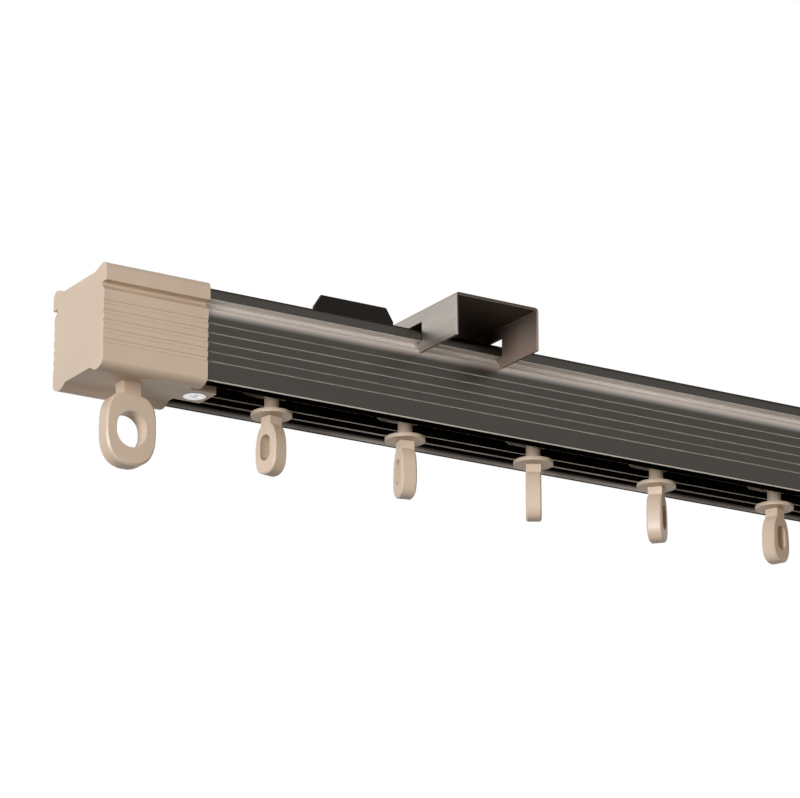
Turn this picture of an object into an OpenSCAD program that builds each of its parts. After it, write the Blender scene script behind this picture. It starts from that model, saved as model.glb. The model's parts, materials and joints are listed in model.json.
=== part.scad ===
// Curtain track on two wall brackets, with end caps and ring gliders.
// X runs along the track, Y points to the wall and Z points up.
// The origin is the centre of the four wall screws, on the wall.

/* [Track] */
// Cut length of the aluminium profile
track_l = 503.2; // [420:0.1:900]
// Width across the plain faces of the profile
track_w = 26.7; // [26:0.1:30]
// Height of the flat top above the bottom of the flanges
track_h = 24.9; // [24.4:0.1:30]
// Wall thickness of the profile
track_wall = 1.3; // [1:0.1:1.6]
// Radius of the two bottom corners
track_round = 0.5; // [0.4:0.1:1.6]
// Width of each bottom flange
flange_w = 1.3; // [1:0.05:1.6]
// Height of the ledges' underside above the bottom of the flanges
ledge_rise = 1.85; // [1.7:0.05:2.4]
// Thickness of the ledges that the wheels run on
ledge_t = 2.2; // [1.8:0.05:2.4]
// Half width of the recess between the ledges' thicker outer parts
ledge_mid = 9.05; // [8.6:0.05:10]
// How much thicker the ledges are outside that recess
ledge_step = 0.3; // [0.2:0.05:0.5]
// Width of the slot between the ledges
slot_w = 8; // [7:0.1:9]
// Distance of the chambers' shoulder below the side grooves
shoulder = 0.4; // [0.2:0.05:0.6]
// Room between the wheels and the inner web over them
web_gap = 1.2; // [0.6:0.1:1.6]
// Thickness of the inner web
web_t = 1.2; // [0.8:0.1:1.6]

/* [Ears and side grooves] */
// Height of the two ears above the flat top
ear_h = 1.4; // [1:0.1:2]
// How far each ear stands out from the plain face
ear_out = 1.15; // [0.8:0.05:1.4]
// Radius of each ear's outer top edge
ear_round = 2.1; // [1.6:0.1:2.4]
// Width of each ear at its foot, from its outer side
ear_w = 5.1; // [4.6:0.1:6]
// Height of each ear's straight side under its round edge
ear_side = 1.65; // [1.4:0.05:2]
// Width of the soft foot of each ear's inner flank
ear_foot_w = 0.7; // [0.4:0.1:1]
// Height of the soft foot of each ear's inner flank
ear_foot_h = 0.35; // [0.2:0.05:0.5]
// Height of the mouth of the side grooves
groove_h = 2.35; // [2.2:0.05:2.8]
// Height of the back of the side grooves
groove_back = 0.85; // [0.7:0.05:1.2]
// Depth of the side grooves
groove_d = 2.2; // [2:0.1:2.5]

/* [Face lines] */
// Number of fine lines on each side face
line_n = 5; // [3:1:6]
// Distance from one line to the next
line_pitch = 2.67; // [2.2:0.01:2.8]
// Height of the lowest line above the bottom of the flanges
line_low = 5.5; // [4.5:0.1:6]
// Width of a line in the aluminium
line_w = 0.4; // [0.3:0.05:0.6]
// Depth of a line in the aluminium
line_d = 0.25; // [0.15:0.05:0.4]

/* [End caps] */
// Length of an end cap along the track
cap_l = 31.4; // [28:0.1:36]
// Thickness of the cap's end wall
cap_end = 1.5; // [1.2:0.1:2.5]
// Wall of the cap's sleeve
cap_wall = 1.1; // [0.9:0.1:1.6]
// Gap between the cap and the profile
cap_fit = 0.1; // [0.05:0.05:0.2]
// Wall of the cap over the flat top
cap_top_wall = 1; // [0.8:0.05:1.6]
// Wall of the cap around the ears
cap_ear_wall = 0.95; // [0.7:0.05:1.4]
// Wall of the cap along the side grooves
cap_groove_wall = 0.55; // [0.45:0.05:0.6]
// Depth of the cap's own side grooves
cap_groove_d = 1.55; // [1.2:0.05:1.6]
// Depth of the cap's lips under the flanges
cap_lip = 1.65; // [1.2:0.05:2.2]
// Width of the large round under each side of the cap
cap_round_w = 3.9; // [3:0.1:4.2]
// Height at which that round meets the side
cap_round_top = 0.4; // [0:0.1:1.5]
// Thickness of the cap's plate under the ledges
cap_plate = 0.3; // [0.2:0.05:0.6]
// Half width of the raised field between the cap's lips
cap_field = 7; // [6.6:0.1:7.6]
// Height of a groove in the cap's ribbed sides
cap_rib_h = 1.3; // [0.9:0.05:1.5]
// Depth of a groove in the cap's ribbed sides
cap_rib_d = 0.35; // [0.2:0.05:0.5]
// Height of the slanted edges of such a groove
cap_rib_slant = 0.35; // [0.2:0.05:0.4]
// Length of the cap's tongue past the sleeve
tongue_l = 8.3; // [7.8:0.1:8.6]
// Width of the cap's tongue
tongue_w = 9.6; // [9:0.1:11]
// Radius of the tongue's corners
tongue_round = 0.6; // [0.4:0.1:2.5]
// Distance of the clamp screw from the sleeve
screw_at = 4; // [3.6:0.1:4.2]

/* [Fixed ring under each cap] */
// Width of the ring
ring_w = 15; // [14:0.1:17]
// Height of the ring
ring_h = 20; // [19:0.1:22]
// Height of the ring's widest place above its bottom
ring_wide = 9.9; // [9:0.1:10.5]
// Half width of the flat at the ring's bottom
ring_flat = 1.4; // [0.8:0.1:2]
// Thickness of the ring
ring_t = 5.2; // [4:0.1:6.5]
// Width of the ring's hole
ring_hole_w = 8.9; // [7:0.1:9.5]
// Height of the ring's hole
ring_hole_h = 10.1; // [9.6:0.1:11]
// Distance of the hole from the ring's bottom
ring_hole_low = 4.9; // [4:0.1:5]
// Distance of the ring from the cap's end
ring_in = 15.3; // [12:0.1:19]
// Height of the neck over the ring
ring_neck_h = 3.2; // [3:0.1:5]
// Width of the neck
ring_neck_w = 4.9; // [4:0.1:6]
// Thickness of the neck
ring_neck_t = 5; // [3.6:0.1:5.2]
// Flare of the neck where it meets the cap
ring_flare = 0.5; // [0.3:0.1:1]
// Flare of the neck where it meets the ring
ring_shoulder = 1; // [0.6:0.1:1.2]
// Squareness of the ring's lower half, where 2 is an ellipse
ring_low_power = 2.5; // [2:0.1:3]
// Squareness of the ring's upper half
ring_high_power = 3.2; // [2.2:0.1:3.4]
// Bevel around the ring's two faces
ring_bevel = 0.5; // [0.4:0.1:1.2]

/* [Clamp screws and nuts] */
// Radius of the clamp screw's shank
screw_r = 1.5; // [1.25:0.05:1.6]
// Radius of the clamp screw's head
screw_head_r = 3.15; // [2.8:0.05:3.3]
// Height of the countersunk head
screw_head_h = 1.5; // [1.2:0.05:1.6]
// Play around the clamp screw in the tongue
screw_play = 0.15; // [0.1:0.05:0.25]
// Width of the cross recess's four slots
recess_w = 0.6; // [0.5:0.1:0.9]
// Length of the cross recess
recess_l = 3.2; // [2.6:0.1:3.6]
// Depth of the cross recess
recess_d = 0.8; // [0.6:0.1:1]
// Length of the screw under its head
screw_l = 6.5; // [6:0.1:9]
// Length of the nut plate along the track
nut_l = 10; // [8:0.1:12]
// Width of the nut plate
nut_w = 12; // [10:0.1:18]
// Thickness of the nut plate
nut_t = 2.2; // [1.6:0.1:3]
// Play between the clamp screw and its nut plate
nut_play = 0.03; // [0.01:0.01:0.06]

/* [Gliders] */
// Number of gliders
glider_n = 10; // [2:1:11]
// Distance of the first and last glider from the profile's ends
glider_in = 57.9; // [54:0.1:70]
// Radius of the wheels
wheel_r = 5; // [4.6:0.1:5.2]
// Width of a wheel
wheel_w = 3.2; // [2.6:0.1:3.6]
// Depth of the dish in a wheel's outer side, and of its edges' bevels
wheel_dish = 0.4; // [0.3:0.05:0.6]
// Width of the hub and of the rim around that dish
wheel_rim = 1; // [0.8:0.1:1.4]
// Gap between the wheels and the ledges that they run on
wheel_gap = 0.05; // [0.02:0.01:0.1]
// Distance of the wheels' inner sides from the slot's edge
wheel_in = 1; // [0.8:0.1:1.4]
// Radius of the steel axle
axle_r = 1; // [0.8:0.05:1.2]
// Play between the axle and the carrier
axle_play = 0.02; // [0.01:0.01:0.05]
// Radius of the axle's riveted ends
axle_end_r = 1.6; // [1.4:0.1:1.9]
// Thickness of the axle's riveted ends
axle_end_t = 0.6; // [0.4:0.1:0.8]
// Play of the wheels along their axle
wheel_side = 0.15; // [0.1:0.05:0.3]
// Play between each wheel and its axle
wheel_play = 0.06; // [0.03:0.01:0.1]
// Length of the carrier's body along the track
carrier_l = 13; // [11:0.1:15]
// Height of the carrier's body
carrier_h = 7.6; // [7.2:0.1:8]
// Gap between the carrier's body and the ledges
carrier_gap = 0.5; // [0.3:0.05:0.8]
// Gap between the carrier's body and its wheels
carrier_side = 0.6; // [0.3:0.05:0.8]
// Thickness of the carrier under the swivel pin's head
pocket_floor = 1.1; // [0.8:0.1:1.3]
// Thickness of the carrier between the pin's head and the axle
pocket_roof = 0.5; // [0.4:0.05:0.6]
// Radius of the stem through the slot
stem_r = 2.05; // [1.9:0.05:2.4]
// Radius of the round flange on the stem
disc_r = 5.7; // [5:0.1:7]
// Thickness of the round flange
disc_t = 1.1; // [0.8:0.1:1.6]
// Gap between the round flange and the bottom of the track
disc_gap = 1.13; // [0.7:0.01:2]

/* [Swivel eyes] */
// Width of an eye at its widest
eye_w = 8.6; // [7.6:0.1:9.5]
// Height of an eye with its neck
eye_h = 16.4; // [15.8:0.1:20]
// Height of the widest place above the bottom of the eye
eye_wide = 5.8; // [5:0.1:7]
// Thickness of an eye
eye_t = 4.4; // [3.8:0.1:5]
// Width of the eye's hole
eye_hole_w = 4; // [3.4:0.1:4.6]
// Height of the eye's hole
eye_hole_h = 7.4; // [6.6:0.1:8]
// Distance of the hole from the bottom of the eye
eye_hole_low = 3.7; // [3:0.1:4.2]
// Width of the eye's neck
eye_neck_w = 3.8; // [3.4:0.1:4.6]
// Thickness of the eye's neck
eye_neck_t = 4.2; // [3.4:0.1:4.6]
// Height of the eye's neck
eye_neck_h = 1.9; // [1.2:0.1:2.4]
// Half width of the flat at the eye's bottom
eye_flat = 0.9; // [0.6:0.1:1.2]
// Squareness of the eye's outline, where 2 is an ellipse
eye_power = 2.5; // [2:0.1:3]
// Bevel around the eye's two faces
eye_bevel = 0.4; // [0.3:0.1:0.8]
// Radius of the swivel pin
pin_r = 1; // [0.8:0.05:1.1]
// Play around the swivel pin
pin_play = 0.06; // [0.03:0.01:0.1]
// Play around the swivel pin's head
head_play = 0.2; // [0.1:0.05:0.3]
// Gap under the swivel pin's head
head_gap = 0.05; // [0.02:0.01:0.1]
// Radius of the swivel pin's head
pin_head_r = 1.7; // [1.5:0.05:1.8]
// Height of the swivel pin's head
pin_head_h = 0.8; // [0.6:0.05:1]
// Gap between the eye and the glider's flange over it
eye_gap = 0.1; // [0.05:0.05:0.3]

/* [Wall brackets] */
// Distance of each bracket's middle from the profile's end
bracket_in = 111; // [100:0.1:130]
// Width of a bracket
bracket_w = 27.4; // [26:0.1:34]
// Thickness of the sheet steel
sheet_t = 0.8; // [0.6:0.05:1.5]
// Distance of the track's middle from the wall
track_out = 45.5; // [44:0.1:70]
// How far the bracket's nose stands in front of the track's middle
nose_out = 32.2; // [24:0.1:40]
// Height of the bracket's side plates
arm_h = 12.5; // [12:0.1:16]
// Drop of the side plates' lower edge below the grooves' lower edge
arm_drop = 0.7; // [0.4:0.1:1.4]
// Room between the ears and the bracket's notch over them
notch_gap = 1.95; // [1.2:0.05:2.5]
// Gap between the track and the bracket beside it
bracket_fit = 0.15; // [0.1:0.01:0.25]
// Gap between the bracket's teeth and the ears that hang on them
tooth_fit = 0.05; // [0.02:0.01:0.1]
// Distance of the teeth's tips from the back of the grooves
tooth_tip = 0.5; // [0.3:0.1:1]
// Height of the teeth's underside above the lower side of the grooves
tooth_rise = 0.3; // [0.2:0.05:0.5]
// How much wider the bracket's notch is behind the track
notch_back = 1; // [0.5:0.1:2]
// Height of the wall plate over the arm
plate_h = 22.5; // [20:0.1:30]
// Width of the cut at the plate's top corners
plate_cut_w = 2.5; // [1:0.1:4]
// Height of the cut at the plate's top corners
plate_cut_h = 4; // [2:0.1:6]
// Radius of the wall screw holes
wall_hole_r = 2.25; // [1.75:0.05:2.8]
// Distance between a plate's two holes
wall_hole_gap = 9; // [8:0.1:12]
// Distance of the upper hole from the plate's top
wall_hole_top = 7.5; // [4.6:0.1:9]

/* [Lock levers] */
// Distance of the lever's pivot behind the track's middle
lever_back = 24; // [23.6:0.1:24.4]
// Reach of the lever's nose from its pivot
lever_nose = 11.3; // [10.8:0.1:11.6]
// Width of the lever
lever_w = 7; // [6:0.1:8]
// Thickness of the lever
lever_t = 1.6; // [1.2:0.1:1.6]
// Length of the lever's handle from its pivot
lever_grip = 11.6; // [10.5:0.1:12]
// Depth of the handle's bent tab
lever_tab = 5.5; // [4:0.1:8]
// Radius of the lever's round hub
lever_hub_r = 4.5; // [4.2:0.1:5]
// Radius of the lever's pivot pin
lever_pin_r = 2; // [1.75:0.05:2.2]
// Play between the lever and its pin
lever_play = 0.05; // [0.03:0.01:0.1]
// Gap over and under the lever
lever_gap = 0.1; // [0.05:0.05:0.15]
// Play between the pivot pin and its hole in the bracket
rivet_play = 0.02; // [0.01:0.01:0.05]
// Radius of the pin's shoulder and heads
lever_shoulder_r = 3.3; // [3:0.1:3.5]
// Height of the pin's heads
lever_head_h = 0.9; // [0.7:0.1:1.2]

/* [Hidden] */
sides = ["left", "right"];
glider_ids = [for (i = [1 : glider_n]) i];
$fn = 48;
// How far a cut runs past the face that it opens
over = 1;
// How far joined shapes of one piece reach into each other
sink = 1;
// How the eyes happen to be turned at rest, in degrees from the track
eye_turns = [101, 76, 57, 41, 19];

// Heights are counted from the bottom of the flanges, and Y from the track's middle.
half_w = track_w / 2;
ledge_top = ledge_rise + ledge_t;
axle_z = ledge_top + wheel_gap + wheel_r;
web_z = axle_z + wheel_r + web_gap;
ear_low = track_h + ear_h - ear_round - ear_side;
ear_y = half_w + ear_out;
groove_low = ear_low - groove_h;
groove_y = half_w - groove_d;
step_y = half_w - flange_w;
track_end = track_l / 2;

cap_face = half_w + cap_fit + cap_wall;
cap_bottom = -cap_fit - cap_lip;
plate_bottom = -cap_plate;
plate_top = ledge_rise - cap_fit;
sleeve_x = track_end + cap_end - cap_l;
tongue_x = sleeve_x - tongue_l;
screw_x = sleeve_x - screw_at;
screw_low = plate_bottom - cap_fit;
ring_x = track_end + cap_end - ring_in;
ring_low = plate_bottom - ring_neck_h - ring_h;

glider_pitch = glider_n > 1 ? (track_l - 2 * glider_in) / (glider_n - 1) : 0;
wheel_y = slot_w / 2 + wheel_in;
carrier_y = wheel_y - carrier_side;
carrier_z = ledge_top + carrier_gap;
disc_z = -disc_gap - disc_t;
eye_top = disc_z - eye_gap;
eye_low = eye_top - eye_h;
pocket_z = carrier_z + pocket_floor;
pocket_top = axle_z - axle_r - pocket_roof;

arm_low = groove_low - arm_drop;
arm_top = arm_low + arm_h;
plate_z = arm_top + plate_h;
bracket_x = track_end - bracket_in;
hole_z = plate_z - wall_hole_top - wall_hole_gap / 2;
lever_top = ear_low - lever_gap;
lever_z = lever_top - lever_t;

// Points of an arc in the YZ plane, from angle a to angle b
function arc(y, z, r, a, b, n = 8) =
    [for (i = [0 : n]) let (t = a + (b - a) * i / n) [y + r * cos(t), z + r * sin(t)]];

// Points of an elliptical corner, from angle a to angle b
function bend(y, z, ry, rz, a, b, n = 8) =
    [for (i = [0 : n]) let (t = a + (b - a) * i / n) [y + ry * cos(t), z + rz * sin(t)]];

// The sine or cosine of a point on an ellipse made squarer by a power
function squarer(c, power) = sign(c) * pow(abs(c), 2 / power);

// The right half of a loop's outline, from the flat at its bottom to its top, around its widest place
function loop_half(r, low_h, low_power, high_h, high_power, flat) = concat(
    [[flat, -low_h]],
    [for (a = [-70 : 10 : -10]) [r * squarer(cos(a), low_power), low_h * squarer(sin(a), low_power)]],
    [[r, 0]],
    [for (a = [10 : 10 : 80]) [r * squarer(cos(a), high_power), high_h * squarer(sin(a), high_power)]]);

// How far such a loop's outline has come down from its top at a distance x from its middle
function loop_dip(x, r, high_h, high_power) =
    high_h * (1 - pow(1 - pow(x / r, high_power), 1 / high_power));

// A closed outline from the points of its right half, listed from bottom to top
function both_sides(half) =
    concat(half, [for (i = [len(half) - 1 : -1 : 0]) [-half[i][0], half[i][1]]]);

function line_z(i) = line_low + i * line_pitch;

function glider_x(i) = -track_end + glider_in + (i - 1) * glider_pitch;

function eye_turn(i) = eye_turns[(i - 1) % len(eye_turns)];

// From the track's own heights to the part's frame
module placed() {
    translate([0, -track_out, -hole_z]) children();
}

// Mirrors a right-hand piece to the left-hand end
module at_side(side) {
    placed() mirror([side == "left" ? 1 : 0, 0, 0]) children();
}

// A section drawn in Y and Z, drawn out along X from x0 to x1
module along_x(x0, x1) {
    translate([x0, 0, 0]) rotate([90, 0, 90]) linear_extrude(x1 - x0) children();
}

// A piece drawn in X and Z, of thickness t about the track's middle plane
module upright(t) {
    translate([0, t / 2, 0]) rotate([90, 0, 0]) linear_extrude(t) children();
}

// Outside of the profile, with its bottom closed and every face moved out by g.
// The faces of the grooves' slope move out by about g too, by these shares of it at its two ends.
module track_outside(g = 0) {
    slope_low = 0.3 * g;
    slope_high = 0.8 * g;
    polygon(both_sides(concat(
        arc(half_w - track_round, track_round, track_round + g, -90, 0, 5),
        [[half_w + g, groove_low + slope_low],
         [groove_y + g, ear_low - groove_back + slope_high],
         [groove_y + g, ear_low - g],
         [ear_y + g, ear_low - g]],
        arc(ear_y - ear_round, track_h + ear_h - ear_round, ear_round + g, 0, 90, 6),
        [[ear_y - ear_w + ear_foot_w, track_h + g + ear_foot_h],
         [ear_y - ear_w, track_h + g]])));
}

// The hollow under the ledges, between the flanges
module under_ledges(g = 0) {
    outer_z = ledge_rise - ledge_step - g;
    polygon(both_sides([
        [step_y - g, -over],
        [step_y - g, outer_z],
        [ledge_mid - g, outer_z],
        [ledge_mid - g, ledge_rise - g]]));
}

module track_section() {
    inner = half_w - track_wall;
    groove_wall = groove_y - track_wall;
    difference() {
        track_outside();
        under_ledges();
        translate([-slot_w / 2, 0]) square([slot_w, ledge_top + over]);
        translate([-inner, ledge_top]) square([2 * inner, web_z - ledge_top]);
        translate([-inner, web_z + web_t])
            square([2 * inner, groove_low - shoulder - web_z - web_t]);
        translate([-groove_wall, web_z + web_t])
            square([2 * groove_wall, track_h - track_wall - web_z - web_t]);
        for (m = [0, 1]) mirror([m, 0]) for (i = [0 : line_n - 1])
            polygon([[half_w + over, line_z(i) - line_w / 2],
                     [half_w, line_z(i) - line_w / 2],
                     [half_w - line_d, line_z(i)],
                     [half_w, line_z(i) + line_w / 2],
                     [half_w + over, line_z(i) + line_w / 2]]);
    }
}

module track_profile() {
    color([0.29, 0.28, 0.26]) along_x(-track_end, track_end) track_section();
}

// Outside of the cap's sleeve
module cap_outside() {
    low_in = ear_low - groove_back;
    in_y = cap_face - cap_groove_d;
    ear_under = ear_low - cap_fit - cap_groove_wall;
    top = track_h + cap_fit + cap_top_wall;
    polygon(both_sides(concat(
        [[0, plate_bottom], [cap_field, plate_bottom]],
        bend(cap_face - cap_round_w, cap_round_top, cap_round_w, cap_round_top - cap_bottom, -100, 0, 9),
        [[cap_face, groove_low - cap_groove_wall],
         [in_y, low_in - cap_groove_wall],
         [in_y, ear_under],
         [ear_y + cap_fit + cap_ear_wall, ear_under]],
        arc(ear_y - ear_round + cap_ear_wall, track_h + ear_h - ear_round + cap_ear_wall,
            ear_round + cap_fit, 0, 90, 6),
        [[ear_y - ear_w + ear_foot_w, top + ear_foot_h],
         [ear_y - ear_w, top]])));
}

module cap_ribs() {
    half = cap_rib_h / 2;
    for (m = [0, 1]) mirror([m, 0]) for (i = [0 : line_n - 1])
        translate([cap_face, line_z(i)])
            polygon([[over, -half],
                     [0, -half],
                     [-cap_rib_d, cap_rib_slant - half],
                     [-cap_rib_d, half - cap_rib_slant],
                     [0, half],
                     [over, half]]);
}

// The plate between the flanges, with its screw hole, and the tongue past the sleeve
module cap_tongue() {
    difference() {
        translate([0, 0, plate_bottom]) linear_extrude(plate_top - plate_bottom)
            union() {
                translate([tongue_x + tongue_round, -tongue_w / 2])
                    square([tongue_l + 2, tongue_w]);
                translate([tongue_x, tongue_round - tongue_w / 2])
                    square([tongue_l, tongue_w - 2 * tongue_round]);
                for (y = [-1, 1])
                    translate([tongue_x + tongue_round, y * (tongue_w / 2 - tongue_round)])
                        circle(r = tongue_round);
            }
        translate([screw_x, 0, plate_bottom - over])
            cylinder(r = screw_r + screw_play, h = plate_top - plate_bottom + 2 * over);
        translate([screw_x, 0, screw_low - cap_fit])
            cylinder(r1 = screw_head_r + screw_play + cap_fit, r2 = screw_r + screw_play,
                     h = screw_head_h + cap_fit);
    }
}

// A loop of thickness t with a bevel around both faces, from the bottom of its outline
module loop(t, bevel, r, low_h, low_power, high_h, high_power, flat) {
    translate([0, 0, low_h]) hull() for (cut = [0, bevel])
        upright(t - 2 * (bevel - cut))
            polygon(both_sides(loop_half(r - cut, low_h - cut, low_power, high_h - cut, high_power,
                                         flat - cut / 2)));
}

// An upright slot through the whole thickness, w wide and h high
module upright_slot(w, h, t) {
    upright(t + 2 * over) {
        square([w, h - w], center = true);
        for (s = [-1, 1]) translate([0, s * (h - w) / 2]) circle(r = w / 2);
    }
}

module cap_ring() {
    half_w = ring_w / 2;
    half_neck = ring_neck_w / 2;
    high_h = ring_h - ring_wide;
    dip = loop_dip(half_neck + ring_shoulder, half_w, high_h, ring_high_power);
    neck_top = ring_h + ring_neck_h;
    translate([ring_x, 0, ring_low]) difference() {
        union() {
            loop(ring_t, ring_bevel, half_w, ring_wide, ring_low_power, high_h, ring_high_power, ring_flat);
            upright(ring_neck_t) polygon(both_sides(concat(
                [[half_neck + ring_shoulder, ring_h - dip - sink - ring_bevel]],
                bend(half_neck + ring_shoulder, ring_h + ring_shoulder, ring_shoulder,
                     ring_shoulder + dip + sink, 270, 180, 5),
                [[half_neck, neck_top - ring_flare],
                 [half_neck + ring_flare, neck_top],
                 [half_neck + ring_flare, neck_top + sink]])));
        }
        translate([0, 0, ring_hole_low + ring_hole_h / 2])
            upright_slot(ring_hole_w, ring_hole_h, ring_t);
    }
}

module end_cap() {
    color([0.72, 0.65, 0.55]) {
        difference() {
            along_x(sleeve_x, track_end + cap_end) cap_outside();
            along_x(sleeve_x - over, track_end) difference() {
                track_outside(cap_fit);
                under_ledges(cap_fit);
            }
            along_x(sleeve_x - over, track_end + cap_end + over) cap_ribs();
        }
        cap_tongue();
        cap_ring();
    }
}

module cap_screw() {
    color([0.88, 0.88, 0.87]) translate([screw_x, 0, screw_low]) difference() {
        union() {
            cylinder(r1 = screw_head_r, r2 = screw_r, h = screw_head_h);
            cylinder(r = screw_r, h = screw_head_h + screw_l);
        }
        for (a = [0, 90]) rotate(a) translate([-recess_l / 2, -recess_w / 2, -over])
            cube([recess_l, recess_w, over + recess_d]);
    }
}

module cap_nut() {
    color([0.62, 0.63, 0.64]) difference() {
        translate([screw_x - nut_l / 2, -nut_w / 2, ledge_top]) cube([nut_l, nut_w, nut_t]);
        translate([screw_x, 0, ledge_top - over]) cylinder(r = screw_r + nut_play, h = nut_t + 2 * over);
    }
}

// Side plate of a bracket: the tooth in front holds the front ear
module bracket_side() {
    face = half_w + bracket_fit;
    ear = ear_y + bracket_fit;
    low_in = ear_low - groove_back;
    polygon([[-nose_out, arm_low],
             [-face, arm_low],
             [-face, groove_low + tooth_rise],
             [-groove_y - tooth_tip, low_in + tooth_rise],
             [-groove_y - tooth_tip, ear_low - tooth_fit],
             [-ear, ear_low - tooth_fit],
             [-ear, track_h + ear_h + notch_gap],
             [ear + notch_back, track_h + ear_h + notch_gap],
             [ear + notch_back, arm_low],
             [track_out, arm_low],
             [track_out, arm_top],
             [-nose_out, arm_top]]);
}

module wall_plate() {
    w = bracket_w / 2;
    upright_at = track_out - sheet_t / 2;
    translate([0, upright_at, 0]) upright(sheet_t) difference() {
        polygon([[-w, arm_top - sheet_t],
                 [w, arm_top - sheet_t],
                 [w, plate_z - plate_cut_h],
                 [w - plate_cut_w, plate_z],
                 [plate_cut_w - w, plate_z],
                 [-w, plate_z - plate_cut_h]]);
        for (s = [-1, 1]) translate([0, hole_z + s * wall_hole_gap / 2]) circle(r = wall_hole_r);
    }
}

module wall_bracket() {
    w = bracket_w / 2;
    color([0.47, 0.46, 0.44]) translate([bracket_x, 0, 0]) {
        along_x(-w, sheet_t - w) bracket_side();
        along_x(w - sheet_t, w) bracket_side();
        difference() {
            translate([-w, -nose_out, arm_top - sheet_t])
                cube([bracket_w, nose_out + track_out, sheet_t]);
            translate([0, lever_back, arm_top - sheet_t - over])
                cylinder(r = lever_pin_r + rivet_play, h = sheet_t + 2 * over);
        }
        wall_plate();
    }
}

module lock_lever() {
    color([0.75, 0.76, 0.77]) translate([bracket_x, lever_back, lever_z]) difference() {
        union() {
            linear_extrude(lever_t) {
                intersection() {
                    circle(r = lever_nose);
                    translate([-lever_w / 2, -lever_nose - over])
                        square([lever_w, lever_nose + over]);
                }
                circle(r = lever_hub_r);
                translate([-lever_w / 2, 0]) square([lever_w, lever_grip]);
            }
            translate([-lever_w / 2, lever_grip - lever_t, lever_t - lever_tab])
                cube([lever_w, lever_t, lever_tab]);
        }
        translate([0, 0, -over]) cylinder(r = lever_pin_r + lever_play, h = lever_t + 2 * over);
    }
}

module lever_pin() {
    shoulder_z = lever_top + lever_gap;
    color([0.7, 0.7, 0.7]) translate([bracket_x, lever_back, 0]) {
        translate([0, 0, lever_z - lever_gap - lever_head_h])
            cylinder(r = lever_shoulder_r, h = lever_head_h);
        translate([0, 0, lever_z - lever_gap - lever_head_h / 2])
            cylinder(r = lever_pin_r, h = arm_top + lever_head_h - lever_z);
        translate([0, 0, shoulder_z])
            cylinder(r = lever_shoulder_r, h = arm_top - sheet_t - shoulder_z);
        translate([0, 0, arm_top]) cylinder(r = lever_shoulder_r, h = lever_head_h);
    }
}

module carrier() {
    color([0.72, 0.65, 0.55]) difference() {
        union() {
            translate([-carrier_l / 2, -carrier_y, carrier_z])
                cube([carrier_l, 2 * carrier_y, carrier_h]);
            translate([0, 0, disc_z]) cylinder(r = stem_r, h = carrier_z + over - disc_z);
            translate([0, 0, disc_z]) cylinder(r = disc_r, h = disc_t);
        }
        translate([0, 0, disc_z - over])
            cylinder(r = pin_r + pin_play, h = pocket_z + sink / 2 - disc_z + over);
        translate([0, 0, pocket_z]) cylinder(r = pin_head_r + head_play, h = pocket_top - pocket_z);
        translate([0, carrier_y + over, axle_z]) rotate([90, 0, 0])
            cylinder(r = axle_r + axle_play, h = 2 * (carrier_y + over));
    }
}

module axle() {
    end_y = wheel_y + wheel_w + wheel_side;
    color([0.75, 0.75, 0.76]) translate([0, 0, axle_z]) rotate([90, 0, 0]) {
        translate([0, 0, -end_y - axle_end_t / 2]) cylinder(r = axle_r, h = 2 * end_y + axle_end_t);
        for (m = [0, 1]) mirror([0, 0, m]) translate([0, 0, end_y])
            cylinder(r = axle_end_r, h = axle_end_t);
    }
}

module wheels() {
    hub_r = axle_r + wheel_play;
    color([0.9, 0.89, 0.86]) translate([0, 0, axle_z])
        for (m = [0, 1]) mirror([0, m, 0]) translate([0, wheel_y + wheel_w, 0]) rotate([90, 0, 0])
            rotate_extrude() polygon([[hub_r, 0],
                                      [hub_r + wheel_rim, 0],
                                      [hub_r + wheel_rim, wheel_dish],
                                      [wheel_r - wheel_rim, wheel_dish],
                                      [wheel_r - wheel_rim, 0],
                                      [wheel_r - wheel_dish, 0],
                                      [wheel_r, wheel_dish],
                                      [wheel_r, wheel_w - wheel_dish],
                                      [wheel_r - wheel_dish, wheel_w],
                                      [hub_r, wheel_w]]);
}

module eye() {
    hole_mid = eye_low + eye_hole_low + eye_hole_h / 2;
    head_z = pocket_z + head_gap;
    high_h = eye_h - eye_neck_h - eye_wide;
    neck_low = eye_top - eye_neck_h - sink
        - loop_dip(eye_neck_w / 2, eye_w / 2, high_h, eye_power) - eye_bevel;
    color([0.72, 0.65, 0.55]) {
        difference() {
            translate([0, 0, eye_low])
                loop(eye_t, eye_bevel, eye_w / 2, eye_wide, eye_power, high_h, eye_power, eye_flat);
            translate([0, 0, hole_mid]) upright_slot(eye_hole_w, eye_hole_h, eye_t);
        }
        translate([-eye_neck_w / 2, -eye_neck_t / 2, neck_low])
            cube([eye_neck_w, eye_neck_t, eye_top - neck_low]);
        translate([0, 0, eye_top - sink]) cylinder(r = pin_r, h = head_z + pin_head_h / 2 + sink - eye_top);
        translate([0, 0, head_z]) cylinder(r = pin_head_r, h = pin_head_h);
    }
}

placed() track_profile();
for (side = sides) {
    at_side(side) end_cap();
    at_side(side) cap_screw();
    at_side(side) cap_nut();
    at_side(side) wall_bracket();
    at_side(side) lock_lever();
    at_side(side) lever_pin();
}
for (i = glider_ids) {
    at_glider = [glider_x(i), 0, 0];
    placed() translate(at_glider) carrier();
    placed() translate(at_glider) axle();
    placed() translate(at_glider) wheels();
    placed() translate(at_glider) rotate(eye_turn(i)) eye();
}
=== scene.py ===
"""Looks of a curtain track with ring gliders: rounded edges, finishes, studio and camera."""

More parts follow.
